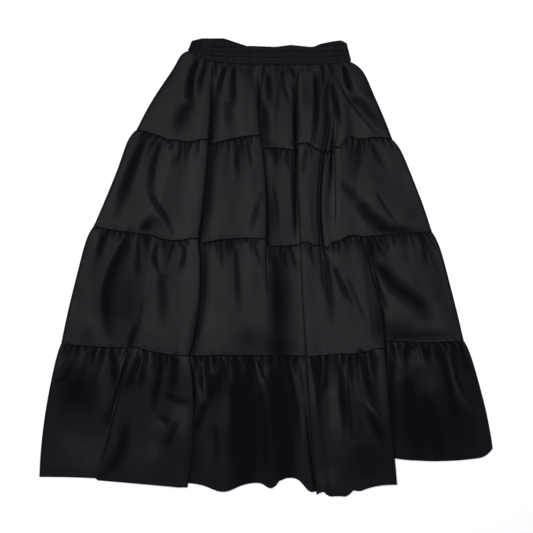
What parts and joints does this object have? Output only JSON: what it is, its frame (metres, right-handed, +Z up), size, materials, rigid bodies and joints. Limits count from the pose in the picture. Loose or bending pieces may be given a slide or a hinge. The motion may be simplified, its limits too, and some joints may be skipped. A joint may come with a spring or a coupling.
{
  "type": "tiered prairie skirt",
  "caption": "Gathered tiered prairie skirt with an elasticated waistband, laid flat with its front up.",
  "frame": {"origin": "the middle of the laid-out skirt's outline, on the surface it lies on", "axes": "+X to the right seen from the front, +Y from the hem to the waistband, +Z up out of the front"},
  "size_m": [0.9061, 0.914, 0.0086],
  "materials": {
    "skirt_cloth": "smooth black woven cloth with a soft satin sheen",
    "waistband_cloth": "the same cloth, finely ribbed where the elastic gathers it",
    "thread": "black sewing thread"
  },
  "bodies": {
    "root": {"waistband": "waistband_cloth", "tier_1_front": "skirt_cloth", "tier_1_back": "skirt_cloth", "tier_2_front": "skirt_cloth", "tier_2_back": "skirt_cloth", "tier_3_front": "skirt_cloth", "tier_3_back": "skirt_cloth", "tier_4_front": "skirt_cloth", "tier_4_back": "skirt_cloth"}
  },
  "joints": []
}
